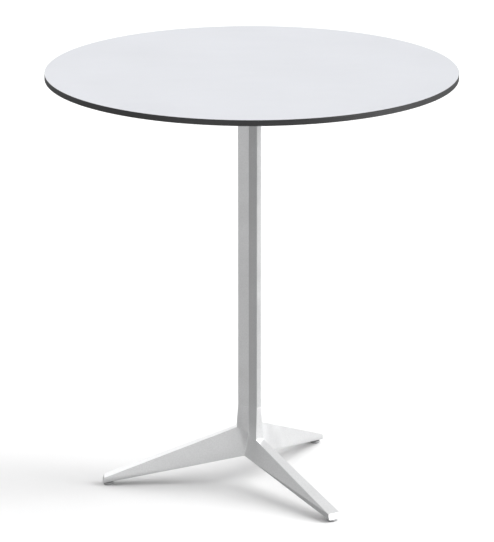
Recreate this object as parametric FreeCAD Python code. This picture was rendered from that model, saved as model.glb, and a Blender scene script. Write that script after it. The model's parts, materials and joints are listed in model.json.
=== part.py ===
"""Tip-up bistro table: round laminate top, tilting head, star column and three-legged cast base.

Sizes are in millimetres. +Z is up, and the origin is on the floor on the column's axis.
The tabletop tips about a pivot that runs along X; its back edge, at +Y, swings down.
"""
import math
import os

import FreeCAD
import Part
from FreeCAD import Vector

# ---- driving sizes -------------------------------------------------------------------------
TABLE_HEIGHT = 730.0
TOP_RADIUS = 350.0
TOP_THICKNESS = 10.0
SHEET_THICKNESS = 0.6
EDGE_CHAMFER = 0.3

LEG_DIRECTIONS = {"left": 183.0, "back": 63.0, "front": 303.0}
LEG_ROOT_TOP = {"left": 102.0, "back": 102.0, "front": 83.0}
VALLEY_OFFSET = 60.0

RIDGE_RADIUS = 23.0
RIDGE_WIDTH = 8.7
VALLEY_RADIUS = 11.0
COLUMN_WALL = 3.0
CAVITY_INSET = 3.15
CAVITY_INNER_RADIUS = 10.5

SEAM_HEIGHT = 140.0
ROOT_RADIUS = 25.5
ROOT_WIDTH = 14.8
CREASE_HEIGHT = 91.0
HUB_BOTTOM_RADIUS = 27.5
HUB_BOTTOM_HEIGHT = 55.0
LEG_REACH = 258.0
LEG_END_WIDTH = 23.0
LEG_END_TOP = 15.0
LEG_END_BOTTOM = 5.0
LEG_END_SLOPE = 2.6
LEG_WALL = 4.0
POCKET_DROP = 4.0
POCKET_START_RADIUS = 42.0
POCKET_START_LOW_WIDTH = 34.0
POCKET_START_HIGH_WIDTH = 7.2
POCKET_END_RADIUS = 230.0
POCKET_END_LOW_WIDTH = 15.5
POCKET_END_HIGH_WIDTH = 12.5
SPIGOT_CLEARANCE = 0.2
BASE_SPIGOT_LENGTH = 20.0
YOKE_SPIGOT_LENGTH = 12.0

FOOT_CIRCLE_RADIUS = 248.0
PAD_RADIUS = 8.75
PAD_HEIGHT = 4.4
PAD_LOWER_CHAMFER = (1.6, 1.4)
PAD_UPPER_CHAMFER = 1.2
FOOT_STUD_RADIUS = 3.0
FOOT_STUD_TOP = 15.0
FOOT_STUD_CHAMFER = 0.6
FOOT_STUD_END_ROOM = 0.5
STUD_HEAD_RADIUS = 5.0
STUD_HEAD_BOTTOM = 1.8
STUD_HEAD_TOP = 3.4

ROD_RADIUS = 5.0
ROD_HOLE_RADIUS = 5.5
ROD_WASHER_RADIUS = 10.0
ROD_WASHER_THICKNESS = 2.0
ROD_NUT_FLATS = 17.0
ROD_NUT_THICKNESS = 8.0
ROD_NUT_RECESS_RADIUS = 10.6
ROD_NUT_RECESS_DEPTH = 12.0
ROD_END_LENGTH = 1.5
ROD_END_CHAMFER = 0.8

YOKE_PLATE_BOTTOM = 685.0
YOKE_PLATE_THICKNESS = 5.0
YOKE_PLATE_RADIUS = 25.0
YOKE_HALF_WIDTH = 14.0
YOKE_FRONT = -46.0
YOKE_FRONT_HEIGHT = 9.0
YOKE_FRONT_CHAMFER = 1.5
YOKE_ROOT_INSET = 2.0
YOKE_SHELF_REACH = 4.0
YOKE_TOP = 712.0
YOKE_BOSS_RADIUS = 10.5

PIVOT_Y = 20.0
PIVOT_Z = 702.0
PIVOT_RADIUS = 5.0
RUNNING_CLEARANCE = 0.05
FRICTION_WASHER_THICKNESS = 1.5
EAR_THICKNESS = 6.0
EAR_ROUND_RADIUS = 11.5
EAR_BACK = 12.0
EAR_FRONT_DEPTH = 14.0
BUSH_RADIUS = 7.0
BUSH_INSET = 0.1
THRUST_WASHER_THICKNESS = 1.5
THRUST_WASHER_RADIUS = 9.5
PIVOT_HEAD_FLATS = 16.0
PIVOT_HEAD_THICKNESS = 6.5

FLANGE_THICKNESS = 3.0
WING_REACH = 117.0
WING_ROOT_HALF_WIDTH = 17.0
WING_TIP_HALF_WIDTH = 11.0
WING_ROOT_DEPTH = 26.0
WING_TIP_DEPTH = 5.5
WING_WALL = 3.5
WING_HARDWARE_ROOM = 5.0
TONGUE_HALF_WIDTH = 12.0
TONGUE_FRONT = -48.0

SCREW_POSITIONS = (-94.0, -40.0, 40.0, 94.0)
SCREW_RADIUS = 3.0
SCREW_HOLE_RADIUS = 3.3
SCREW_HEAD_RADIUS = 5.5
SCREW_HEAD_THICKNESS = 3.2
SCREW_HEAD_ROUND = 1.2
SCREW_SOCKET_FLATS = 4.0
SCREW_SOCKET_DEPTH = 2.0
SCREW_REACH = 5.5
INSERT_RADIUS = 4.5
INSERT_LENGTH = 7.0

BUFFER_Y = -38.0
BUFFER_RADIUS = 6.0
BUFFER_STEM_RADIUS = 2.5
BUFFER_STEM_LENGTH = 6.0

LEVER_REST_DIRECTION = 230.0
LEVER_HUB_RADIUS = 8.0
LEVER_HUB_LENGTH = 12.0
LEVER_ARM_OFFSET = 4.0
LEVER_ARM_THICKNESS = 5.0
LEVER_ARM_WIDTH = 9.0
LEVER_ARM_END = 36.0
LEVER_TANG_RADIUS = 2.5
LEVER_TANG_END = 58.0
GRIP_START = 36.5
GRIP_END = 64.0
GRIP_RADIUS = 5.5
GRIP_END_ROUND = 1.8
CLIP_THICKNESS = 1.2
CLIP_RADIUS = 7.5
CLIP_GROOVE_DEPTH = 0.8
CLIP_MOUTH_WIDTH = 5.0
CLIP_END_PLAY = 0.2
PIVOT_END_LENGTH = 2.5

# How far a cutting or joining solid runs past the face that it crosses.
OVERRUN = 1.0

# ---- worked-out sizes ----------------------------------------------------------------------
TOP_BOTTOM = TABLE_HEIGHT - TOP_THICKNESS
FLANGE_BOTTOM = TOP_BOTTOM - FLANGE_THICKNESS
COLUMN_TOP = YOKE_PLATE_BOTTOM
YOKE_PLATE_TOP = YOKE_PLATE_BOTTOM + YOKE_PLATE_THICKNESS
EAR_INNER = YOKE_HALF_WIDTH + FRICTION_WASHER_THICKNESS
EAR_OUTER = EAR_INNER + EAR_THICKNESS
HUB_START = EAR_OUTER + THRUST_WASHER_THICKNESS
HUB_END = HUB_START + LEVER_HUB_LENGTH
CLIP_START = HUB_END + CLIP_END_PLAY
PIVOT_END = CLIP_START + CLIP_THICKNESS + PIVOT_END_LENGTH
ROD_NUT_SEAT_TOP = YOKE_TOP - ROD_NUT_RECESS_DEPTH
ROD_NUT_SEAT_BOTTOM = HUB_BOTTOM_HEIGHT + ROD_NUT_RECESS_DEPTH
LEG_TOP_REACH = LEG_REACH - LEG_END_SLOPE

Z_AXIS = Vector(0, 0, 1)
X_AXIS = Vector(1, 0, 0)


# ---- small helpers -------------------------------------------------------------------------
def polar(radius, direction, height, across=0.0):
    """Point at a distance along a direction in degrees, moved sideways to the direction's left."""
    angle = math.radians(direction)
    x = radius * math.cos(angle) - across * math.sin(angle)
    y = radius * math.sin(angle) + across * math.cos(angle)
    return Vector(x, y, height)


def polygon_face(points):
    """Flat face through the points in order."""
    return Part.Face(Part.makePolygon(list(points) + [points[0]]))


def closed_solid(faces):
    """Solid bounded by flat faces, each given as a list of points."""
    shell = Part.makeShell([polygon_face(points) for points in faces])
    solid = Part.makeSolid(shell)
    if solid.Volume < 0:
        solid.reverse()
    return solid


def prism_between(lower, upper):
    """Straight-sided solid with the two matching loops of points as its ends."""
    wires = [Part.makePolygon(list(points) + [points[0]]) for points in (lower, upper)]
    return Part.makeLoft(wires, True, True)


def upright(radius, bottom, top, x=0.0, y=0.0):
    """Vertical cylinder between two heights."""
    return Part.makeCylinder(radius, top - bottom, Vector(x, y, bottom), Z_AXIS)


def pivot_cylinder(radius, start, end):
    """Cylinder on the pivot axis between two X positions."""
    return Part.makeCylinder(radius, end - start, Vector(start, PIVOT_Y, PIVOT_Z), X_AXIS)


def box(x_low, x_high, y_low, y_high, z_low, z_high):
    """Box from its two extreme positions on each axis."""
    corner = Vector(x_low, y_low, z_low)
    return Part.makeBox(x_high - x_low, y_high - y_low, z_high - z_low, corner)


def hexagon(flats, height, position, axis):
    """Hexagonal prism standing on a position along an axis."""
    corner_radius = flats / math.sqrt(3.0)
    corners = []
    for step in range(6):
        corners.append(polar(corner_radius, 60.0 * step, 0.0))
    prism = polygon_face(corners).extrude(Vector(0, 0, height))
    prism.Placement = FreeCAD.Placement(position, FreeCAD.Rotation(Z_AXIS, axis))
    return prism


def mirrored_in_x(shape):
    """Copy of a shape reflected to the other side of the YZ plane."""
    return shape.mirror(Vector(0, 0, 0), X_AXIS)


def level_edges(shape, height):
    """Edges of a shape that lie flat at a height."""
    tolerance = 0.01
    edges = [edge for edge in shape.Edges if abs(edge.BoundBox.ZMax - height) < tolerance]
    return [edge for edge in edges if abs(edge.BoundBox.ZMin - height) < tolerance]


def fused(shapes):
    """One clean solid made from touching or overlapping shapes."""
    return shapes[0].fuse(shapes[1:]).removeSplitter()


# ---- star column ---------------------------------------------------------------------------
def star_half_width(radius):
    """Half the width of a column ridge at a distance from the axis."""
    valley_along = VALLEY_RADIUS * math.cos(math.radians(VALLEY_OFFSET))
    valley_across = VALLEY_RADIUS * math.sin(math.radians(VALLEY_OFFSET))
    share = (RIDGE_RADIUS - radius) / (RIDGE_RADIUS - valley_along)
    return RIDGE_WIDTH / 2 + share * (valley_across - RIDGE_WIDTH / 2)


def star_outline(height):
    """Corner points of the three-ridged column section, counter-clockwise."""
    points = []
    for direction in sorted(LEG_DIRECTIONS.values()):
        points.append(polar(RIDGE_RADIUS, direction, height, -RIDGE_WIDTH / 2))
        points.append(polar(RIDGE_RADIUS, direction, height, RIDGE_WIDTH / 2))
        points.append(polar(VALLEY_RADIUS, direction + VALLEY_OFFSET, height))
    return points


def ridge_cavity(direction, bottom, top, clearance=0.0):
    """Hollow inside one ridge of the column, or a tongue that fits it with a clearance."""
    inset = CAVITY_INSET + clearance
    inner = CAVITY_INNER_RADIUS + clearance
    outer = RIDGE_RADIUS - COLUMN_WALL - clearance
    inner_half = star_half_width(inner) - inset
    outer_half = star_half_width(outer) - inset
    corners = [
        polar(inner, direction, bottom, -inner_half),
        polar(outer, direction, bottom, -outer_half),
        polar(outer, direction, bottom, outer_half),
        polar(inner, direction, bottom, inner_half),
    ]
    return polygon_face(corners).extrude(Vector(0, 0, top - bottom))


def tongues(bottom, top):
    """Three tongues that locate a casting in the end of the column."""
    shapes = []
    for direction in LEG_DIRECTIONS.values():
        shapes.append(ridge_cavity(direction, bottom, top, SPIGOT_CLEARANCE))
    return shapes


def make_column():
    length = COLUMN_TOP - SEAM_HEIGHT
    column = polygon_face(star_outline(SEAM_HEIGHT)).extrude(Vector(0, 0, length))
    hollows = [upright(ROD_HOLE_RADIUS, SEAM_HEIGHT, COLUMN_TOP)]
    for direction in LEG_DIRECTIONS.values():
        hollows.append(ridge_cavity(direction, SEAM_HEIGHT, COLUMN_TOP))
    return column.cut(hollows)


# ---- cast base -----------------------------------------------------------------------------
def leg_top_height(name, radius):
    """Height of a leg's top face at a distance from the axis."""
    share = (radius - ROOT_RADIUS) / (LEG_TOP_REACH - ROOT_RADIUS)
    return LEG_ROOT_TOP[name] + share * (LEG_END_TOP - LEG_ROOT_TOP[name])


def leg_bottom_height(radius):
    """Height of a leg's underside at a distance from the axis."""
    start = HUB_BOTTOM_RADIUS * math.cos(math.radians(VALLEY_OFFSET))
    share = (radius - start) / (LEG_REACH - start)
    return HUB_BOTTOM_HEIGHT + share * (LEG_END_BOTTOM - HUB_BOTTOM_HEIGHT)


def leg_side_faces(name, side):
    """Faces on one side of a leg, from the column seam to the foot; side is 1 for left, -1 for right."""
    direction = LEG_DIRECTIONS[name]
    valley = direction + side * VALLEY_OFFSET
    seam = polar(RIDGE_RADIUS, direction, SEAM_HEIGHT, side * RIDGE_WIDTH / 2)
    seam_valley = polar(VALLEY_RADIUS, valley, SEAM_HEIGHT)
    crease = polar(VALLEY_RADIUS, valley, CREASE_HEIGHT)
    root = polar(ROOT_RADIUS, direction, LEG_ROOT_TOP[name], side * ROOT_WIDTH / 2)
    hub_bottom = polar(HUB_BOTTOM_RADIUS, valley, HUB_BOTTOM_HEIGHT)
    end_top = polar(LEG_TOP_REACH, direction, LEG_END_TOP, side * LEG_END_WIDTH / 2)
    end_bottom = polar(LEG_REACH, direction, LEG_END_BOTTOM, side * LEG_END_WIDTH / 2)
    return [
        [seam, seam_valley, crease],
        [seam, crease, root],
        [root, crease, hub_bottom],
        [root, hub_bottom, end_top],
        [hub_bottom, end_bottom, end_top],
    ]


def leg_middle_faces(name):
    """Ridge, top, end and underside faces of a leg; each spans it from side to side."""
    direction = LEG_DIRECTIONS[name]
    stations = [
        (RIDGE_RADIUS, SEAM_HEIGHT, RIDGE_WIDTH),
        (ROOT_RADIUS, LEG_ROOT_TOP[name], ROOT_WIDTH),
        (LEG_TOP_REACH, LEG_END_TOP, LEG_END_WIDTH),
        (LEG_REACH, LEG_END_BOTTOM, LEG_END_WIDTH),
    ]
    rungs = []
    for radius, height, width in stations:
        right = polar(radius, direction, height, -width / 2)
        left = polar(radius, direction, height, width / 2)
        rungs.append((right, left))
    hub_right = polar(HUB_BOTTOM_RADIUS, direction - VALLEY_OFFSET, HUB_BOTTOM_HEIGHT)
    hub_left = polar(HUB_BOTTOM_RADIUS, direction + VALLEY_OFFSET, HUB_BOTTOM_HEIGHT)
    rungs.append((hub_right, hub_left))
    faces = []
    for near, far in zip(rungs, rungs[1:]):
        faces.append([near[0], near[1], far[1], far[0]])
    return faces


def leg_pocket(name):
    """Tapered hollow that leaves an even wall; it starts below the leg, so that it opens downward."""
    direction = LEG_DIRECTIONS[name]
    stations = [
        (POCKET_START_RADIUS, POCKET_START_LOW_WIDTH, POCKET_START_HIGH_WIDTH),
        (POCKET_END_RADIUS, POCKET_END_LOW_WIDTH, POCKET_END_HIGH_WIDTH),
    ]
    loops = []
    for radius, low_width, high_width in stations:
        low = leg_bottom_height(radius) - POCKET_DROP
        high = leg_top_height(name, radius) - LEG_WALL
        loops.append([
            polar(radius, direction, low, -low_width / 2),
            polar(radius, direction, low, low_width / 2),
            polar(radius, direction, high, high_width / 2),
            polar(radius, direction, high, -high_width / 2),
        ])
    return prism_between(loops[0], loops[1])


def make_base():
    hub_floor = []
    faces = [star_outline(SEAM_HEIGHT)]
    for name in sorted(LEG_DIRECTIONS, key=LEG_DIRECTIONS.get):
        hub_valley = LEG_DIRECTIONS[name] + VALLEY_OFFSET
        hub_floor.append(polar(HUB_BOTTOM_RADIUS, hub_valley, HUB_BOTTOM_HEIGHT))
        faces += leg_middle_faces(name)
        for side in (1, -1):
            faces += leg_side_faces(name, side)
    faces.append(hub_floor)
    casting = closed_solid(faces)
    hollows = [
        upright(ROD_HOLE_RADIUS, HUB_BOTTOM_HEIGHT - OVERRUN, SEAM_HEIGHT + OVERRUN),
        upright(ROD_NUT_RECESS_RADIUS, HUB_BOTTOM_HEIGHT - OVERRUN, ROD_NUT_SEAT_BOTTOM),
    ]
    hole_radius = FOOT_STUD_RADIUS + RUNNING_CLEARANCE
    hole_top = FOOT_STUD_TOP + FOOT_STUD_END_ROOM
    for name, direction in LEG_DIRECTIONS.items():
        foot = polar(FOOT_CIRCLE_RADIUS, direction, 0.0)
        hollows.append(leg_pocket(name))
        hollows.append(upright(hole_radius, 0.0, hole_top, foot.x, foot.y))
    casting = casting.cut(hollows)
    return fused([casting] + tongues(SEAM_HEIGHT - OVERRUN, SEAM_HEIGHT + BASE_SPIGOT_LENGTH))


# ---- adjustable feet -----------------------------------------------------------------------
def make_foot_stud(direction):
    foot = polar(FOOT_CIRCLE_RADIUS, direction, 0.0)
    head = upright(STUD_HEAD_RADIUS, STUD_HEAD_BOTTOM, STUD_HEAD_TOP, foot.x, foot.y)
    shank = upright(FOOT_STUD_RADIUS, STUD_HEAD_TOP, FOOT_STUD_TOP, foot.x, foot.y)
    shank = shank.makeChamfer(FOOT_STUD_CHAMFER, level_edges(shank, FOOT_STUD_TOP))
    return fused([head, shank])


def make_foot_pad(direction, stud):
    foot = polar(FOOT_CIRCLE_RADIUS, direction, 0.0)
    lower_inset, lower_height = PAD_LOWER_CHAMFER
    profile = [
        Vector(0, 0, 0),
        Vector(PAD_RADIUS - lower_inset, 0, 0),
        Vector(PAD_RADIUS, 0, lower_height),
        Vector(PAD_RADIUS, 0, PAD_HEIGHT - PAD_UPPER_CHAMFER),
        Vector(PAD_RADIUS - PAD_UPPER_CHAMFER, 0, PAD_HEIGHT),
        Vector(0, 0, PAD_HEIGHT),
    ]
    pad = polygon_face(profile).revolve(Vector(0, 0, 0), Z_AXIS, 360)
    pad.translate(foot)
    return pad.cut(stud)


# ---- tie rod -------------------------------------------------------------------------------
def rod_fastening(seat, inward):
    """Washer and nut on one end of the tie rod; inward is 1 for the lower end, -1 for the upper."""
    washer_far = seat - inward * ROD_WASHER_THICKNESS
    nut_far = washer_far - inward * ROD_NUT_THICKNESS
    bore = upright(ROD_RADIUS, min(seat, nut_far), max(seat, nut_far))
    washer = upright(ROD_WASHER_RADIUS, min(seat, washer_far), max(seat, washer_far))
    nut = hexagon(ROD_NUT_FLATS, ROD_NUT_THICKNESS, Vector(0, 0, min(washer_far, nut_far)), Z_AXIS)
    return washer.cut(bore), nut.cut(bore)


def make_tie_rod():
    stack = ROD_WASHER_THICKNESS + ROD_NUT_THICKNESS + ROD_END_LENGTH
    rod = upright(ROD_RADIUS, ROD_NUT_SEAT_BOTTOM - stack, ROD_NUT_SEAT_TOP + stack)
    end_edges = [edge for edge in rod.Edges if len(edge.Vertexes) == 1]
    return rod.makeChamfer(ROD_END_CHAMFER, end_edges)


# ---- fixed yoke and tilting bracket --------------------------------------------------------
def side_plate(outline, x_low, x_high):
    """Plate of constant thickness along X from (y, z) outline points."""
    face = polygon_face([Vector(x_low, y, z) for y, z in outline])
    return face.extrude(Vector(x_high - x_low, 0, 0))


def make_yoke():
    rear = PIVOT_Y + EAR_BACK + YOKE_SHELF_REACH
    plate_disc = upright(YOKE_PLATE_RADIUS, YOKE_PLATE_BOTTOM, YOKE_PLATE_TOP)
    rear_shelf = box(-EAR_OUTER, EAR_OUTER, 0, rear, YOKE_PLATE_BOTTOM, YOKE_PLATE_TOP)
    block = side_plate(
        [
            (PIVOT_Y + YOKE_BOSS_RADIUS, YOKE_PLATE_TOP - OVERRUN),
            (PIVOT_Y + YOKE_BOSS_RADIUS, PIVOT_Z),
            (PIVOT_Y, PIVOT_Z + YOKE_BOSS_RADIUS),
            (PIVOT_Y - YOKE_BOSS_RADIUS, YOKE_TOP),
            (YOKE_FRONT + YOKE_FRONT_CHAMFER, YOKE_TOP),
            (YOKE_FRONT, YOKE_TOP - YOKE_FRONT_CHAMFER),
            (YOKE_FRONT, YOKE_TOP - YOKE_FRONT_HEIGHT),
            (-YOKE_PLATE_RADIUS + YOKE_ROOT_INSET, YOKE_PLATE_TOP - OVERRUN),
        ],
        -YOKE_HALF_WIDTH,
        YOKE_HALF_WIDTH,
    )
    boss = pivot_cylinder(YOKE_BOSS_RADIUS, -YOKE_HALF_WIDTH, YOKE_HALF_WIDTH)
    lower_tongues = tongues(YOKE_PLATE_BOTTOM - YOKE_SPIGOT_LENGTH, YOKE_PLATE_BOTTOM + OVERRUN)
    yoke = fused([plate_disc, rear_shelf, block, boss] + lower_tongues)
    hollows = [
        upright(ROD_HOLE_RADIUS, YOKE_PLATE_BOTTOM - OVERRUN, YOKE_TOP + OVERRUN),
        upright(ROD_NUT_RECESS_RADIUS, ROD_NUT_SEAT_TOP, YOKE_TOP + OVERRUN),
        pivot_cylinder(PIVOT_RADIUS + RUNNING_CLEARANCE, -EAR_OUTER, EAR_OUTER),
        upright(BUFFER_STEM_RADIUS, YOKE_TOP - BUFFER_STEM_LENGTH, YOKE_TOP + OVERRUN, y=BUFFER_Y),
    ]
    return yoke.cut(hollows)


def wing_body(inset, top, reach):
    """Tapered wing towards +X, or its hollow when given an inset."""
    loops = []
    for x in (EAR_OUTER - OVERRUN / 2, reach):
        share = (x - EAR_OUTER) / (WING_REACH - EAR_OUTER)
        half = WING_ROOT_HALF_WIDTH + share * (WING_TIP_HALF_WIDTH - WING_ROOT_HALF_WIDTH)
        depth = WING_ROOT_DEPTH + share * (WING_TIP_DEPTH - WING_ROOT_DEPTH)
        half -= inset
        low = TOP_BOTTOM - depth - inset
        loops.append([
            Vector(x, -half, low),
            Vector(x, half, low),
            Vector(x, half, top),
            Vector(x, -half, top),
        ])
    return prism_between(loops[0], loops[1])


def make_wing():
    shell = wing_body(0.0, TOP_BOTTOM, WING_REACH)
    hollow = wing_body(WING_WALL, FLANGE_BOTTOM, WING_REACH - WING_WALL)
    hardware_gap = box(
        EAR_OUTER - OVERRUN, HUB_END + WING_HARDWARE_ROOM,
        WING_TIP_HALF_WIDTH - OVERRUN, WING_ROOT_HALF_WIDTH + OVERRUN,
        TOP_BOTTOM - WING_ROOT_DEPTH - OVERRUN, FLANGE_BOTTOM,
    )
    return shell.cut([hollow, hardware_gap])


def make_ear():
    back = PIVOT_Y + EAR_BACK
    plate = side_plate(
        [
            (back, TOP_BOTTOM),
            (back, PIVOT_Z),
            (PIVOT_Y, PIVOT_Z - EAR_ROUND_RADIUS),
            (-WING_ROOT_HALF_WIDTH, TOP_BOTTOM - EAR_FRONT_DEPTH),
            (-WING_ROOT_HALF_WIDTH, TOP_BOTTOM),
        ],
        EAR_INNER,
        EAR_OUTER,
    )
    return fused([plate, pivot_cylinder(EAR_ROUND_RADIUS, EAR_INNER, EAR_OUTER)])


def make_bracket():
    back = PIVOT_Y + EAR_BACK
    sides = [make_wing(), make_ear()]
    centre = box(-EAR_OUTER, EAR_OUTER, -WING_ROOT_HALF_WIDTH, back, FLANGE_BOTTOM, TOP_BOTTOM)
    tongue = box(
        -TONGUE_HALF_WIDTH, TONGUE_HALF_WIDTH, TONGUE_FRONT, 0, FLANGE_BOTTOM, TOP_BOTTOM
    )
    bracket = fused([centre, tongue] + sides + [mirrored_in_x(shape) for shape in sides])
    holes = [pivot_cylinder(BUSH_RADIUS, -EAR_OUTER - OVERRUN, EAR_OUTER + OVERRUN)]
    for x in SCREW_POSITIONS:
        holes.append(upright(SCREW_HOLE_RADIUS, FLANGE_BOTTOM - OVERRUN, TOP_BOTTOM + OVERRUN, x))
    return bracket.cut(holes)


def make_buffer():
    cushion = upright(BUFFER_RADIUS, YOKE_TOP, FLANGE_BOTTOM, y=BUFFER_Y)
    stem_bottom = YOKE_TOP - BUFFER_STEM_LENGTH
    return fused([cushion, upright(BUFFER_STEM_RADIUS, stem_bottom, YOKE_TOP, y=BUFFER_Y)])


# ---- pivot hardware ------------------------------------------------------------------------
def pivot_ring(outer, inner, start, end):
    """Ring round the pivot axis."""
    return pivot_cylinder(outer, start, end).cut(pivot_cylinder(inner, start, end))


def paired_rings(outer, inner, start, end):
    """The same ring on both sides of the yoke."""
    ring = pivot_ring(outer, inner, start, end)
    return Part.makeCompound([ring, mirrored_in_x(ring)])


def make_pivot_bolt():
    head_back = Vector(-HUB_START - PIVOT_HEAD_THICKNESS, PIVOT_Y, PIVOT_Z)
    head = hexagon(PIVOT_HEAD_FLATS, PIVOT_HEAD_THICKNESS, head_back, X_AXIS)
    shank = pivot_cylinder(PIVOT_RADIUS, -HUB_START, PIVOT_END)
    groove_radius = PIVOT_RADIUS - CLIP_GROOVE_DEPTH
    groove_end = CLIP_START + CLIP_THICKNESS
    groove = pivot_ring(PIVOT_RADIUS + OVERRUN, groove_radius, CLIP_START, groove_end)
    return fused([head, shank]).cut(groove)


def make_clip():
    """Open spring ring in the groove at the bolt's end."""
    end = CLIP_START + CLIP_THICKNESS
    ring = pivot_ring(CLIP_RADIUS, PIVOT_RADIUS - CLIP_GROOVE_DEPTH, CLIP_START, end)
    mouth = box(
        CLIP_START - OVERRUN, end + OVERRUN,
        PIVOT_Y - CLIP_MOUTH_WIDTH / 2, PIVOT_Y + CLIP_MOUTH_WIDTH / 2,
        PIVOT_Z, PIVOT_Z + CLIP_RADIUS + OVERRUN,
    )
    return ring.cut(mouth)


# ---- lock lever ----------------------------------------------------------------------------
def turned_to_rest(shape):
    """Turn a shape that hangs straight down from the pivot to the lever's rest direction."""
    turned = shape.copy()
    pivot = Vector(0, PIVOT_Y, PIVOT_Z)
    turned.rotate(pivot, X_AXIS, LEVER_REST_DIRECTION - 270.0)
    return turned


def hanging_rod(radius, near, far):
    """Cylinder in line with the lever arm, between two distances from the pivot."""
    middle = HUB_START + LEVER_ARM_OFFSET + LEVER_ARM_THICKNESS / 2
    return upright(radius, PIVOT_Z - far, PIVOT_Z - near, middle, PIVOT_Y)


def make_lever():
    arm_start = HUB_START + LEVER_ARM_OFFSET
    half = LEVER_ARM_WIDTH / 2
    arm = box(
        arm_start, arm_start + LEVER_ARM_THICKNESS, PIVOT_Y - half, PIVOT_Y + half,
        PIVOT_Z - LEVER_ARM_END, PIVOT_Z,
    )
    hub = pivot_cylinder(LEVER_HUB_RADIUS, HUB_START, HUB_END)
    tang = hanging_rod(LEVER_TANG_RADIUS, LEVER_ARM_END - OVERRUN, LEVER_TANG_END)
    bore = pivot_cylinder(PIVOT_RADIUS + RUNNING_CLEARANCE, HUB_START, HUB_END)
    return turned_to_rest(fused([hub, arm, tang]).cut(bore))


def make_grip():
    barrel = hanging_rod(GRIP_RADIUS, GRIP_START, GRIP_END)
    ends = [edge for edge in barrel.Edges if len(edge.Vertexes) == 1]
    barrel = barrel.makeFillet(GRIP_END_ROUND, ends)
    socket = hanging_rod(LEVER_TANG_RADIUS, GRIP_START - OVERRUN, LEVER_TANG_END)
    return turned_to_rest(barrel.cut(socket))


# ---- tabletop ------------------------------------------------------------------------------
def insert_hollows():
    """Round sockets for the threaded inserts in the tabletop's underside."""
    top = TOP_BOTTOM + INSERT_LENGTH
    return [upright(INSERT_RADIUS, TOP_BOTTOM - OVERRUN, top, x) for x in SCREW_POSITIONS]


def make_sheet(bottom, outer_height):
    """Decorative face sheet with a chamfer on its outer edge."""
    sheet = upright(TOP_RADIUS, bottom, bottom + SHEET_THICKNESS)
    return sheet.makeChamfer(EDGE_CHAMFER, level_edges(sheet, outer_height))


def make_core():
    core = upright(TOP_RADIUS, TOP_BOTTOM + SHEET_THICKNESS, TABLE_HEIGHT - SHEET_THICKNESS)
    return core.cut(insert_hollows())


def make_bottom_sheet():
    return make_sheet(TOP_BOTTOM, TOP_BOTTOM).cut(insert_hollows())


def make_inserts():
    rings = []
    for x in SCREW_POSITIONS:
        body = upright(INSERT_RADIUS, TOP_BOTTOM, TOP_BOTTOM + INSERT_LENGTH, x)
        thread = upright(SCREW_RADIUS, TOP_BOTTOM, TOP_BOTTOM + INSERT_LENGTH, x)
        rings.append(body.cut(thread))
    return Part.makeCompound(rings)


def make_bracket_screws():
    screws = []
    head_bottom = FLANGE_BOTTOM - SCREW_HEAD_THICKNESS
    for x in SCREW_POSITIONS:
        head = upright(SCREW_HEAD_RADIUS, head_bottom, FLANGE_BOTTOM, x)
        head = head.makeFillet(SCREW_HEAD_ROUND, level_edges(head, head_bottom))
        shank = upright(SCREW_RADIUS, FLANGE_BOTTOM, TOP_BOTTOM + SCREW_REACH, x)
        socket_start = Vector(x, 0, head_bottom - OVERRUN)
        socket = hexagon(SCREW_SOCKET_FLATS, SCREW_SOCKET_DEPTH + OVERRUN, socket_start, Z_AXIS)
        screws.append(fused([head, shank]).cut(socket))
    return Part.makeCompound(screws)


# ---- all nodes -----------------------------------------------------------------------------
def all_nodes():
    """Every separate piece of the table, by node name."""
    lower_washer, lower_nut = rod_fastening(ROD_NUT_SEAT_BOTTOM, 1)
    upper_washer, upper_nut = rod_fastening(ROD_NUT_SEAT_TOP, -1)
    clearance_bore = PIVOT_RADIUS + RUNNING_CLEARANCE
    bush_start = EAR_INNER + BUSH_INSET
    bush_end = EAR_OUTER - BUSH_INSET
    nodes = {
        "base_casting": make_base(),
        "column_extrusion": make_column(),
        "tie_rod": make_tie_rod(),
        "tie_rod_washers": Part.makeCompound([lower_washer, upper_washer]),
        "tie_rod_nuts": Part.makeCompound([lower_nut, upper_nut]),
        "head_yoke": make_yoke(),
        "stop_buffer": make_buffer(),
        "pivot_bolt": make_pivot_bolt(),
        "friction_washers": paired_rings(YOKE_BOSS_RADIUS, clearance_bore, YOKE_HALF_WIDTH, EAR_INNER),
        "thrust_washers": paired_rings(THRUST_WASHER_RADIUS, clearance_bore, EAR_OUTER, HUB_START),
        "pivot_clip": make_clip(),
        "tilt_bracket": make_bracket(),
        "pivot_bushes": paired_rings(BUSH_RADIUS, clearance_bore, bush_start, bush_end),
        "bracket_screws": make_bracket_screws(),
        "threaded_inserts": make_inserts(),
        "tabletop_core": make_core(),
        "tabletop_top_sheet": make_sheet(TABLE_HEIGHT - SHEET_THICKNESS, TABLE_HEIGHT),
        "tabletop_bottom_sheet": make_bottom_sheet(),
        "lock_lever": make_lever(),
        "lever_grip": make_grip(),
    }
    for name, direction in LEG_DIRECTIONS.items():
        stud = make_foot_stud(direction)
        nodes["foot_stud_" + name] = stud
        nodes["foot_pad_" + name] = make_foot_pad(direction, stud)
    return nodes


def main():
    os.makedirs("parts", exist_ok=True)
    for name, shape in all_nodes().items():
        shape.exportStep("parts/" + name + ".step")


main()
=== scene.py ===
import json
import math

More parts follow.
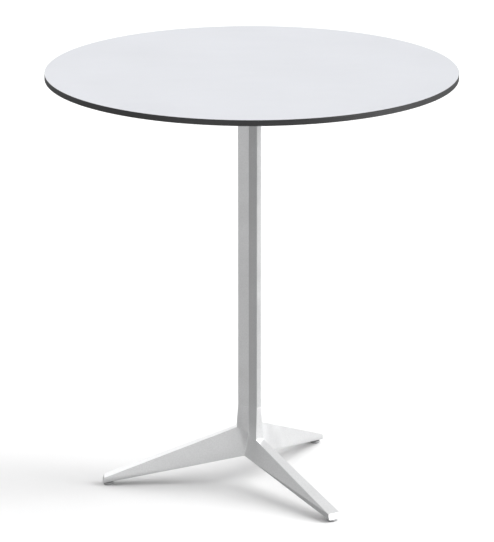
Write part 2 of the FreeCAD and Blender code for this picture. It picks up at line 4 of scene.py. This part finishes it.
import bmesh
import bpy
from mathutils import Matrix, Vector


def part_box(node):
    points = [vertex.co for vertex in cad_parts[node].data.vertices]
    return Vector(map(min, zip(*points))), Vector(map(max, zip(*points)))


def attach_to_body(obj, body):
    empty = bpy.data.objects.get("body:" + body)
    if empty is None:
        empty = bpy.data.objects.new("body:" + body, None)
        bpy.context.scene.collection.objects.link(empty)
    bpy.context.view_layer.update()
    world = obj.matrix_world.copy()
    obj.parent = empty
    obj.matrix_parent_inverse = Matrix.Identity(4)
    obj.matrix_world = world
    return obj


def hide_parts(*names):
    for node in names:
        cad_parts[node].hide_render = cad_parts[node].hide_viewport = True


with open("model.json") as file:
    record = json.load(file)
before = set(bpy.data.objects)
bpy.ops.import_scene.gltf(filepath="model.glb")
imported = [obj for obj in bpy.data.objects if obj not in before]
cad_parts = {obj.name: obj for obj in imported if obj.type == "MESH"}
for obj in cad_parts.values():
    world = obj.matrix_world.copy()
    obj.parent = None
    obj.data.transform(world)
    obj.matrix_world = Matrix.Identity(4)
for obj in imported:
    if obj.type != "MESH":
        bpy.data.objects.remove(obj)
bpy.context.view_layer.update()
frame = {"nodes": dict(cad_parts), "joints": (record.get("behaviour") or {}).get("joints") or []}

# ---- camera, floor and background, in metres ------------------------------------------------
CAMERA_POSITION = Vector((0.0, -7.289, 2.430))
CAMERA_AIM = Vector((-0.008, 0.0, 0.379))
CAMERA_LENS_MM = 294.1
SENSOR_MM = 36.0
CAMERA_REACH = 100.0
FLOOR_HALF_SIZE = 30.0
FLOOR_COLOUR = (0.95, 0.95, 0.95)
FLOOR_BOUNCE_COLOUR = (0.15, 0.15, 0.15)
FLOOR_ROUGHNESS = 0.9
BACKDROP_COLOUR = (1.0, 1.0, 1.0)
BACKDROP_LIGHT = 0.227
BACKDROP_SEEN = 1.0

# Each soft light: azimuth it comes from (0 is +X, 90 is +Y), elevation, strength, spread in degrees.
LIGHTS = {
    "right_low": (0.0, 6.0, 0.65, 30.0),
    "right_front_low": (342.0, 5.0, 0.95, 20.0),
    "right": (0.0, 24.0, 1.75, 30.0),
    "right_high": (0.0, 50.0, 1.50, 40.0),
    "back": (120.0, 24.0, 0.69, 30.0),
    "back_low": (150.0, 6.0, 0.35, 30.0),
    "left_front_low": (240.0, 6.0, 0.95, 30.0),
    "left_front_high": (240.0, 50.0, 0.51, 40.0),
    "overhead": (60.0, 80.0, 0.72, 60.0),
}

# ---- small turned pieces, in metres ---------------------------------------------------------
FEET = ("left", "back", "front")
SHARP_ANGLE = math.radians(35.0)
PAD_RADIUS = 0.00875
PAD_HEIGHT = 0.0044
PAD_FLUTES = 24
PAD_SEGMENTS = 6 * PAD_FLUTES
PAD_GROOVE = 0.0004
STUD_HEAD_RADIUS = 0.0050
STUD_HEAD_THICKNESS = 0.0016
SOCKET_CLEARANCE = 0.00005
THREAD_RADIUS = 0.0030
THREAD_DEPTH = 0.00055
THREAD_PITCH = 0.0010
THREAD_ROWS_PER_TURN = 6
THREAD_SEGMENTS = 32
GRIP_LENGTH = 0.0275
GRIP_RADIUS = 0.0055
GRIP_FLUTES = 10
GRIP_SEGMENTS = 8 * GRIP_FLUTES
GRIP_GROOVE = 0.00055

# ---- rounding of the CAD nodes' edges, in metres --------------------------------------------
FACETED_NODES = ("base_casting", "column_extrusion")
FACET_ANGLE = math.radians(17.6)
ROUNDED_ANGLE = math.radians(20.0)
WELD_DISTANCE = 0.000002
BEVEL_SEGMENTS = 2
FLAT_FACE_WEIGHT = 60

# ---- finishes ------------------------------------------------------------------------------
COAT_COLOUR = (0.895, 0.90, 0.905)
COAT_METALLIC = 0.5
# The column's coat is a paler copy of the cast coat, with painted light that brightens the column's faces.
COLUMN_LIT_COLOUR = (0.935, 0.94, 0.945)
COLUMN_METALLIC = 0.6
LEVER_COLOUR = (0.55, 0.56, 0.57)
LAMINATE_COLOUR = (0.61, 0.62, 0.65)
LAMINATE_SPECULAR = 0.2
RIM_WIDTH = 0.00036
RIM_BLUR = 0.00005
CORE_COLOUR = (0.053, 0.053, 0.054)
CORE_DUST_COLOUR = (0.20, 0.20, 0.20)
CORE_SPECULAR = 0.35
ZINC_COLOUR = (0.62, 0.63, 0.64)
SPRING_COLOUR = (0.12, 0.12, 0.125)
BRASS_COLOUR = (0.72, 0.52, 0.22)
NYLON_COLOUR = (0.66, 0.65, 0.58)
RUBBER_COLOUR = (0.025, 0.025, 0.026)
GRIP_COLOUR = (0.022, 0.022, 0.024)
GLIDE_COLOUR = (0.50, 0.505, 0.51)

# The finish of each CAD node that stays visible, and how far its edges are rounded, in metres.
# A width of 0 leaves the edges as they are.
NODE_LOOKS = {
    "base_casting": ("cast_coat", 0.0004),
    "column_extrusion": ("column_coat", 0.0004),
    "head_yoke": ("cast_coat", 0.0008),
    "tilt_bracket": ("cast_coat", 0.0008),
    "lock_lever": ("lever_coat", 0.0005),
    "stop_buffer": ("buffer_rubber", 0.0005),
    "pivot_bolt": ("zinc_steel", 0.0004),
    "pivot_clip": ("spring_steel", 0.0002),
    "thrust_washers": ("zinc_steel", 0.0002),
    "friction_washers": ("nylon", 0.0002),
    "pivot_bushes": ("nylon", 0.0002),
    "bracket_screws": ("zinc_steel", 0.0002),
    "threaded_inserts": ("insert_brass", 0.0),
    "tie_rod": ("zinc_steel", 0.0),
    "tie_rod_nuts": ("zinc_steel", 0.0004),
    "tie_rod_washers": ("zinc_steel", 0.0003),
    "tabletop_core": ("laminate_core", 0.0),
    "tabletop_top_sheet": ("laminate_face", 0.0),
    "tabletop_bottom_sheet": ("laminate_face", 0.0),
}


class Graph:
    """One material with a principled shader, and short calls that add nodes to it.

    A noise's scale is its number of features per metre.
    """

    # The mix node keeps one set of sockets per kind of data. These are its sockets for colours.
    MIX_SHARE = 0
    MIX_FIRST = 6
    MIX_SECOND = 7
    MIX_RESULT = 2

    # How far the surface turns within an edge's radius, as the cosine, on an edge and on a flat face.
    EDGE_COSINE = 0.86
    FLAT_COSINE = 0.985
    EDGE_SAMPLES = 6

    def __init__(self, name):
        self.material = bpy.data.materials.new(name)
        self.material.use_nodes = True
        self.tree = self.material.node_tree
        self.tree.nodes.clear()
        self.output = self.tree.nodes.new("ShaderNodeOutputMaterial")
        self.shader = self.tree.nodes.new("ShaderNodeBsdfPrincipled")
        self.tree.links.new(self.shader.outputs["BSDF"], self.output.inputs["Surface"])

    def add(self, kind, inputs=None, **settings):
        """Adds a node, sets its settings, and feeds its inputs with values or other sockets."""
        node = self.tree.nodes.new(kind)
        for key, value in settings.items():
            setattr(node, key, value)
        for key, value in (inputs or {}).items():
            self.feed(node.inputs[key], value)
        return node

    def feed(self, socket, value):
        """Links a socket to another, or sets its value."""
        if isinstance(value, bpy.types.NodeSocket):
            self.tree.links.new(value, socket)
        else:
            socket.default_value = value

    def position(self, stretch=(1.0, 1.0, 1.0)):
        """Place on the object in metres, stretched per axis."""
        coordinates = self.add("ShaderNodeTexCoord")
        mapping = self.add("ShaderNodeMapping", {"Vector": coordinates.outputs["Object"], "Scale": stretch})
        return mapping.outputs["Vector"]

    def noise(self, scale, detail=3.0, stretch=(1.0, 1.0, 1.0)):
        """Noise from 0 to 1."""
        inputs = {"Vector": self.position(stretch), "Scale": scale, "Detail": detail}
        return self.add("ShaderNodeTexNoise", inputs).outputs["Fac"]

    def distance_from_axis(self):
        """Distance from the vertical axis through the object's origin, in metres."""
        level = self.position((1.0, 1.0, 0.0))
        return self.add("ShaderNodeVectorMath", {0: level}, operation="LENGTH").outputs["Value"]

    def spread(self, value, low, high, start=0.3, end=0.7):
        """Maps start..end of a value onto low..high."""
        inputs = {"Value": value, "From Min": start, "From Max": end, "To Min": low, "To Max": high}
        return self.add("ShaderNodeMapRange", inputs).outputs["Result"]

    def multiply(self, first, second):
        """Product of two values."""
        return self.add("ShaderNodeMath", {0: first, 1: second}, operation="MULTIPLY").outputs[0]

    def blend(self, share, first, second):
        """Colour that goes from first to second as share goes from 0 to 1."""
        inputs = {self.MIX_SHARE: share, self.MIX_FIRST: first, self.MIX_SECOND: second}
        return self.add("ShaderNodeMix", inputs, data_type="RGBA").outputs[self.MIX_RESULT]

    def edges(self, radius):
        """1 on sharp outer edges and 0 on flat faces."""
        rounded = self.add("ShaderNodeBevel", {"Radius": radius}, samples=self.EDGE_SAMPLES)
        geometry = self.add("ShaderNodeNewGeometry")
        sockets = {0: rounded.outputs["Normal"], 1: geometry.outputs["Normal"]}
        cosine = self.add("ShaderNodeVectorMath", sockets, operation="DOT_PRODUCT").outputs["Value"]
        return self.spread(cosine, 1.0, 0.0, self.EDGE_COSINE, self.FLAT_COSINE)

    def relief(self, height, strength, depth, under=None):
        """Surface normal roughened by a height, on top of another normal if one is given."""
        inputs = {"Height": height, "Strength": strength, "Distance": depth}
        if under is not None:
            inputs["Normal"] = under
        return self.add("ShaderNodeBump", inputs).outputs["Normal"]

    def clear_from_behind(self):
        """Lets everything through the back of the surface."""
        behind = self.add("ShaderNodeNewGeometry").outputs["Backfacing"]
        clear = self.add("ShaderNodeBsdfTransparent").outputs["BSDF"]
        solid = self.shader.outputs["BSDF"]
        either = self.add("ShaderNodeMixShader", {0: behind, 1: solid, 2: clear})
        self.feed(self.output.inputs["Surface"], either.outputs["Shader"])

    def finish(self, colour, roughness, normal, metallic=0.0, specular=0.5):
        """Connects the varying looks and sets the even ones on the shader's own sockets."""
        self.feed(self.shader.inputs["Base Color"], colour)
        self.feed(self.shader.inputs["Roughness"], roughness)
        self.feed(self.shader.inputs["Normal"], normal)
        self.shader.inputs["Metallic"].default_value = metallic
        self.shader.inputs["Specular IOR Level"].default_value = specular
        return self.material


def opaque(colour, factor=1.0):
    """Colour with full alpha, scaled in brightness."""
    return (colour[0] * factor, colour[1] * factor, colour[2] * factor, 1.0)


def powder_coat(name, colour, metallic, grain_scale, grain_depth):
    """Fine-textured metallic paint: mottling, visible grain, sparkle, and paler edges that are partly
    rubbed wear and partly a painted highlight.
    """
    graph = Graph(name)
    mottling = graph.spread(graph.noise(scale=14.0, detail=4.0), low=0.0, high=1.0)
    mottled = graph.blend(mottling, opaque(colour, 0.965), opaque(colour, 1.02))
    grain_noise = graph.noise(grain_scale, detail=2.0)
    grain = graph.spread(grain_noise, low=0.0, high=1.0, start=0.35, end=0.65)
    grained = graph.blend(graph.multiply(grain, 0.55), mottled, opaque(colour, 0.86))
    sparkle = graph.spread(graph.noise(grain_scale * 3.5, detail=2.0), low=0.0, high=0.5)
    speckled = graph.blend(sparkle, grained, opaque(colour, 0.93))
    # Paler sharp edges: partly rubbed wear, partly a painted highlight where the edges catch the light.
    handling = graph.spread(graph.noise(scale=60.0, detail=4.0), low=0.15, high=0.8)
    rubbed_and_highlit = graph.multiply(graph.edges(radius=0.0012), handling)
    worn = graph.blend(rubbed_and_highlit, speckled, opaque(colour, 1.08))
    roughness = graph.spread(graph.noise(scale=35.0, detail=5.0), low=0.33, high=0.42)
    waves = graph.relief(graph.noise(scale=170.0, detail=1.0), strength=0.12, depth=0.0004)
    pits = graph.relief(grain_noise, strength=0.35, depth=grain_depth, under=waves)
    return graph.finish(worn, roughness, pits, metallic)


def laminate_face():
    """Matt pressed laminate: near-even pale colour, fine texture, faint handling marks, dark milled rim."""
    graph = Graph("laminate_face")
    cloud = graph.spread(graph.noise(scale=5.0, detail=5.0), low=0.0, high=1.0)
    base = graph.blend(cloud, opaque(LAMINATE_COLOUR, 0.985), opaque(LAMINATE_COLOUR, 1.012))
    fibres = graph.spread(graph.noise(scale=1400.0), low=0.0, high=0.35, start=0.55, end=0.8)
    face = graph.blend(fibres, base, opaque(LAMINATE_COLOUR, 0.95))
    rim_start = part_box("tabletop_top_sheet")[1].x - RIM_WIDTH
    rim_end = rim_start + RIM_BLUR
    rim = graph.spread(graph.distance_from_axis(), low=0.0, high=1.0, start=rim_start, end=rim_end)
    colour = graph.blend(rim, face, opaque(CORE_COLOUR, 1.2))
    smears = graph.noise(scale=9.0, detail=6.0, stretch=(1.0, 2.2, 1.0))
    roughness = graph.spread(smears, low=0.46, high=0.60)
    texture = graph.relief(graph.noise(scale=2600.0, detail=2.0), strength=0.25, depth=0.00006)
    return graph.finish(colour, roughness, texture, specular=LAMINATE_SPECULAR)


def laminate_core():
    """Milled edge of a compact laminate: charcoal with pressed paper layers and faint cutter marks."""
    graph = Graph("laminate_core")
    layers = graph.spread(graph.noise(scale=9.0, stretch=(1.0, 1.0, 420.0)), low=0.0, high=1.0)
    base = graph.blend(layers, opaque(CORE_COLOUR, 0.8), opaque(CORE_COLOUR, 1.35))
    cutter = graph.noise(scale=420.0, detail=2.0, stretch=(1.0, 1.0, 0.04))
    dust = graph.spread(graph.noise(scale=700.0), low=0.0, high=0.12, start=0.58, end=0.75)
    colour = graph.blend(dust, base, opaque(CORE_DUST_COLOUR))
    roughness = graph.spread(cutter, low=0.34, high=0.46)
    marks = graph.relief(cutter, strength=0.18, depth=0.0001)
    return graph.finish(colour, roughness, marks, specular=CORE_SPECULAR)


def bare_metal(name, colour, smoothest, roughest):
    """Plated or machined metal with fine drawn lines and slight tarnish."""
    graph = Graph(name)
    tarnish = graph.spread(graph.noise(scale=120.0, detail=4.0), low=0.0, high=1.0)
    tone = graph.blend(tarnish, opaque(colour, 0.86), opaque(colour, 1.05))
    lines = graph.noise(scale=1300.0)
    roughness = graph.spread(lines, smoothest, roughest)
    drawn = graph.relief(lines, strength=0.25, depth=0.00005)
    return graph.finish(tone, roughness, drawn, metallic=1.0)


def moulded(name, colour, smoothest, roughest, grain_scale):
    """Moulded plastic or rubber: fine grain, slight clouding and paler scuffed edges."""
    graph = Graph(name)
    clouding = graph.spread(graph.noise(scale=90.0, detail=4.0), low=0.0, high=1.0)
    base = graph.blend(clouding, opaque(colour, 0.9), opaque(colour, 1.12))
    handling = graph.spread(graph.noise(scale=300.0, detail=4.0), low=0.0, high=0.6)
    scuffed = graph.multiply(graph.edges(radius=0.0007), handling)
    paler = tuple(min(1.0, channel * 1.5 + 0.03) for channel in colour) + (1.0,)
    worn = graph.blend(scuffed, base, paler)
    roughness = graph.spread(graph.noise(scale=200.0, detail=4.0), smoothest, roughest)
    grain = graph.relief(graph.noise(grain_scale, detail=2.0), strength=0.3, depth=0.00008)
    return graph.finish(worn, roughness, grain)


def ring(mesh, height, radii):
    """Closed ring of points about Z, with its radii evenly spaced round the axis."""
    points = []
    for step, radius in enumerate(radii):
        angle = math.tau * step / len(radii)
        points.append(mesh.verts.new((radius * math.cos(angle), radius * math.sin(angle), height)))
    return points


def fluted(radius, groove, flutes, segments):
    """Radii round a side with shallow rounded grooves."""
    radii = []
    for step in range(segments):
        wave = 0.5 - 0.5 * math.cos(math.tau * step * flutes / segments)
        radii.append(radius - groove * wave)
    return radii


def threaded(height, widest):
    """Radii round a screw thread at a height, cut down to the widest radius allowed there."""
    radii = []
    for step in range(THREAD_SEGMENTS):
        phase = (height / THREAD_PITCH - step / THREAD_SEGMENTS) % 1.0
        radius = THREAD_RADIUS - THREAD_DEPTH * abs(2.0 * phase - 1.0)
        radii.append(min(radius, widest))
    return radii


def closed_piece(name, mesh, rings):
    """Object whose surface joins neighbouring rings, with flat caps on the first and the last."""
    for lower, upper in zip(rings, rings[1:]):
        count = len(lower)
        for step in range(count):
            following = (step + 1) % count
            mesh.faces.new((lower[step], lower[following], upper[following], upper[step]))
    mesh.faces.new(list(reversed(rings[0])))
    mesh.faces.new(rings[-1])
    for face in mesh.faces:
        face.smooth = True
    for edge in mesh.edges:
        if edge.calc_face_angle() > SHARP_ANGLE:
            edge.smooth = False
    data = bpy.data.meshes.new(name)
    mesh.to_mesh(data)
    mesh.free()
    piece = bpy.data.objects.new(name, data)
    bpy.context.scene.collection.objects.link(piece)
    return piece


def fluted_piece(name, profile, flutes, segments):
    """Turned piece about Z with flutes: each row of its profile is radius, height and groove depth."""
    mesh = bmesh.new()
    rings = []
    for radius, height, groove in profile:
        rings.append(ring(mesh, height, fluted(radius, groove, flutes, segments)))
    return closed_piece(name, mesh, rings)


def attach(piece, node_name, body, material):
    """Puts a piece in a CAD node's place, on its body and with its finish."""
    piece.data.materials.append(material)
    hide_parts(node_name)
    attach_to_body(piece, body)


def foot_centre(node_name):
    """Place on the floor below the middle of a foot's node."""
    low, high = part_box(node_name)
    return ((low.x + high.x) / 2, (low.y + high.y) / 2, 0.0)


def make_pad(foot, material):
    """Glide with a fluted rim, rounded corners and a socket for the stud's head."""
    stud_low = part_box("foot_stud_" + foot)[0]
    socket_top = stud_low.z + STUD_HEAD_THICKNESS + SOCKET_CLEARANCE
    socket_bottom = stud_low.z - SOCKET_CLEARANCE
    socket_radius = STUD_HEAD_RADIUS + SOCKET_CLEARANCE
    neck_radius = THREAD_RADIUS + SOCKET_CLEARANCE
    profile = [
        (PAD_RADIUS * 0.80, 0.0, 0.0),
        (PAD_RADIUS * 0.90, PAD_HEIGHT * 0.06, 0.0),
        (PAD_RADIUS * 0.97, PAD_HEIGHT * 0.20, PAD_GROOVE),
        (PAD_RADIUS, PAD_HEIGHT * 0.36, PAD_GROOVE),
        (PAD_RADIUS, PAD_HEIGHT * 0.68, PAD_GROOVE),
        (PAD_RADIUS * 0.97, PAD_HEIGHT * 0.86, PAD_GROOVE),
        (PAD_RADIUS * 0.92, PAD_HEIGHT * 0.96, 0.0),
        (PAD_RADIUS * 0.86, PAD_HEIGHT, 0.0),
        (neck_radius, PAD_HEIGHT, 0.0),
        (neck_radius, socket_top, 0.0),
        (socket_radius, socket_top, 0.0),
        (socket_radius, socket_bottom, 0.0),
    ]
    pad = fluted_piece("knurled_pad_" + foot, profile, PAD_FLUTES, PAD_SEGMENTS)
    pad.location = foot_centre("foot_pad_" + foot)
    attach(pad, "foot_pad_" + foot, "foot_" + foot, material)


def make_stud(foot, material):
    """Foot stud with a helical thread, on the flat head that is held in the pad."""
    low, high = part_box("foot_stud_" + foot)
    thread_start = low.z + STUD_HEAD_THICKNESS
    thread_length = high.z - thread_start
    core_radius = THREAD_RADIUS - THREAD_DEPTH
    count = int(THREAD_ROWS_PER_TURN * thread_length / THREAD_PITCH)
    mesh = bmesh.new()
    rings = [
        ring(mesh, low.z, [STUD_HEAD_RADIUS] * THREAD_SEGMENTS),
        ring(mesh, thread_start, [STUD_HEAD_RADIUS] * THREAD_SEGMENTS),
    ]
    for step in range(count + 1):
        height = thread_start + thread_length * step / count
        chamfer_radius = core_radius + high.z - height
        rings.append(ring(mesh, height, threaded(height, chamfer_radius)))
    stud = closed_piece("threaded_stud_" + foot, mesh, rings)
    stud.location = foot_centre("foot_stud_" + foot)
    attach(stud, "foot_stud_" + foot, "foot_" + foot, material)


def make_fluted_grip(material):
    """Lever grip with finger flutes, a collar at the arm and a domed end."""
    low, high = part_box("lever_grip")
    pivot = Vector(next(joint["pos_m"] for joint in frame["joints"] if joint["name"] == "lever_turn"))
    centre = (low + high) / 2
    outward = Vector((0.0, centre.y - pivot.y, centre.z - pivot.z)).normalized()
    profile = [
        (GRIP_RADIUS * 0.86, 0.0, 0.0),
        (GRIP_RADIUS * 0.97, GRIP_LENGTH * 0.02, 0.0),
        (GRIP_RADIUS, GRIP_LENGTH * 0.06, 0.0),
        (GRIP_RADIUS, GRIP_LENGTH * 0.12, 0.0),
        (GRIP_RADIUS * 0.97, GRIP_LENGTH * 0.16, GRIP_GROOVE * 0.5),
        (GRIP_RADIUS * 0.96, GRIP_LENGTH * 0.22, GRIP_GROOVE),
        (GRIP_RADIUS * 0.94, GRIP_LENGTH * 0.50, GRIP_GROOVE),
        (GRIP_RADIUS * 0.98, GRIP_LENGTH * 0.80, GRIP_GROOVE),
        (GRIP_RADIUS, GRIP_LENGTH * 0.86, GRIP_GROOVE * 0.5),
        (GRIP_RADIUS * 0.96, GRIP_LENGTH * 0.92, 0.0),
        (GRIP_RADIUS * 0.82, GRIP_LENGTH * 0.965, 0.0),
        (GRIP_RADIUS * 0.56, GRIP_LENGTH * 0.99, 0.0),
        (GRIP_RADIUS * 0.25, GRIP_LENGTH, 0.0),
    ]
    grip = fluted_piece("fluted_grip", profile, GRIP_FLUTES, GRIP_SEGMENTS)
    grip.rotation_euler = outward.to_track_quat("Z", "X").to_euler()
    grip.location = centre - outward * GRIP_LENGTH / 2
    attach(grip, "lever_grip", "lever", material)


def soften(node_name, width):
    """Rounds the sharp edges of a CAD node with modifiers, leaving its mesh as it is.

    On the faceted base and column even a shallow crease is kept crisp.
    """
    faceted = node_name in FACETED_NODES
    node = frame["nodes"][node_name]
    weld = node.modifiers.new("weld", "WELD")
    weld.merge_threshold = WELD_DISTANCE
    bevel = node.modifiers.new("bevel", "BEVEL")
    bevel.width = width
    bevel.segments = BEVEL_SEGMENTS
    bevel.limit_method = "ANGLE"
    bevel.angle_limit = FACET_ANGLE if faceted else ROUNDED_ANGLE
    bevel.use_clamp_overlap = not faceted
    normals = node.modifiers.new("normals", "WEIGHTED_NORMAL")
    normals.weight = FLAT_FACE_WEIGHT


def paint(node_name, material):
    """Gives a CAD node one material all over."""
    node = frame["nodes"][node_name]
    node.data.materials.clear()
    node.data.materials.append(material)


def make_finishes():
    """Every material of the table, by the name of its finish."""
    return {
        "cast_coat": powder_coat(
            "cast_coat", COAT_COLOUR, COAT_METALLIC, grain_scale=420.0, grain_depth=0.0002),
        # Paler copy of the cast coat: painted light on the column's faces.
        "column_coat": powder_coat(
            "column_coat", COLUMN_LIT_COLOUR, COLUMN_METALLIC, grain_scale=480.0, grain_depth=0.00015),
        "lever_coat": powder_coat(
            "lever_coat", LEVER_COLOUR, COAT_METALLIC, grain_scale=700.0, grain_depth=0.00006),
        "laminate_face": laminate_face(),
        "laminate_core": laminate_core(),
        "zinc_steel": bare_metal("zinc_steel", ZINC_COLOUR, smoothest=0.22, roughest=0.36),
        "spring_steel": bare_metal("spring_steel", SPRING_COLOUR, smoothest=0.28, roughest=0.42),
        "insert_brass": bare_metal("insert_brass", BRASS_COLOUR, smoothest=0.2, roughest=0.34),
        "nylon": moulded("nylon", NYLON_COLOUR, smoothest=0.38, roughest=0.5, grain_scale=900.0),
        "buffer_rubber": moulded(
            "buffer_rubber", RUBBER_COLOUR, smoothest=0.7, roughest=0.85, grain_scale=1500.0),
        "grip_plastic": moulded(
            "grip_plastic", GRIP_COLOUR, smoothest=0.45, roughest=0.6, grain_scale=1600.0),
        "glide_plastic": moulded(
            "glide_plastic", GLIDE_COLOUR, smoothest=0.4, roughest=0.52, grain_scale=1400.0),
    }


def make_table():
    """Finishes and edge rounding for the CAD nodes that stay visible, and the pieces for the rest."""
    finishes = make_finishes()
    for node_name, (finish_name, edge_width) in NODE_LOOKS.items():
        paint(node_name, finishes[finish_name])
        if edge_width > 0.0:
            soften(node_name, edge_width)
    make_fluted_grip(finishes["grip_plastic"])
    for foot in FEET:
        make_pad(foot, finishes["glide_plastic"])
        make_stud(foot, finishes["zinc_steel"])


def make_camera():
    """Camera at the height and distance from which the table is seen, with a long lens."""
    data = bpy.data.cameras.new("camera")
    data.lens = CAMERA_LENS_MM
    data.sensor_width = SENSOR_MM
    data.clip_end = CAMERA_REACH
    camera = bpy.data.objects.new("camera", data)
    camera.location = CAMERA_POSITION
    camera.rotation_euler = (CAMERA_AIM - CAMERA_POSITION).to_track_quat("-Z", "Y").to_euler()
    bpy.context.scene.collection.objects.link(camera)
    bpy.context.scene.camera = camera


def make_floor():
    """Pale floor that reflects less light onto the table than the camera sees.

    Its underside is clear, so that the table can be looked at from below.
    """
    mesh = bpy.data.meshes.new("floor")
    half = FLOOR_HALF_SIZE
    corners = [(-half, -half, 0.0), (half, -half, 0.0), (half, half, 0.0), (-half, half, 0.0)]
    mesh.from_pydata(corners, [], [(0, 1, 2, 3)])
    floor = bpy.data.objects.new("floor", mesh)
    bpy.context.scene.collection.objects.link(floor)
    graph = Graph("floor")
    from_camera = graph.add("ShaderNodeLightPath").outputs["Is Camera Ray"]
    tone = graph.blend(from_camera, opaque(FLOOR_BOUNCE_COLOUR), opaque(FLOOR_COLOUR))
    graph.feed(graph.shader.inputs["Base Color"], tone)
    graph.shader.inputs["Roughness"].default_value = FLOOR_ROUGHNESS
    graph.shader.inputs["Specular IOR Level"].default_value = 0.0
    graph.clear_from_behind()
    mesh.materials.append(graph.material)


def make_lights():
    """Broad distant lights, each turned so that it shines from its own azimuth and elevation."""
    for name, (azimuth, elevation, strength, spread) in LIGHTS.items():
        data = bpy.data.lights.new(name, "SUN")
        data.energy = strength
        data.angle = math.radians(spread)
        light = bpy.data.objects.new(name, data)
        level = math.cos(math.radians(elevation))
        source = Vector((
            level * math.cos(math.radians(azimuth)),
            level * math.sin(math.radians(azimuth)),
            math.sin(math.radians(elevation)),
        ))
        light.rotation_euler = source.to_track_quat("Z", "Y").to_euler()
        bpy.context.scene.collection.objects.link(light)


def make_backdrop():
    """Dim light from all round, which the camera sees as the white of the floor."""
    world = bpy.data.worlds.new("studio")
    world.use_nodes = True
    tree = world.node_tree
    background = tree.nodes["Background"]
    background.inputs["Color"].default_value = opaque(BACKDROP_COLOUR)
    rays = tree.nodes.new("ShaderNodeLightPath")
    strength = tree.nodes.new("ShaderNodeMapRange")
    strength.inputs["To Min"].default_value = BACKDROP_LIGHT
    strength.inputs["To Max"].default_value = BACKDROP_SEEN
    tree.links.new(rays.outputs["Is Camera Ray"], strength.inputs["Value"])
    tree.links.new(strength.outputs["Result"], background.inputs["Strength"])
    bpy.context.scene.world = world


make_camera()
make_table()
make_floor()
make_lights()
make_backdrop()
bpy.context.scene.view_settings.view_transform = "Standard"
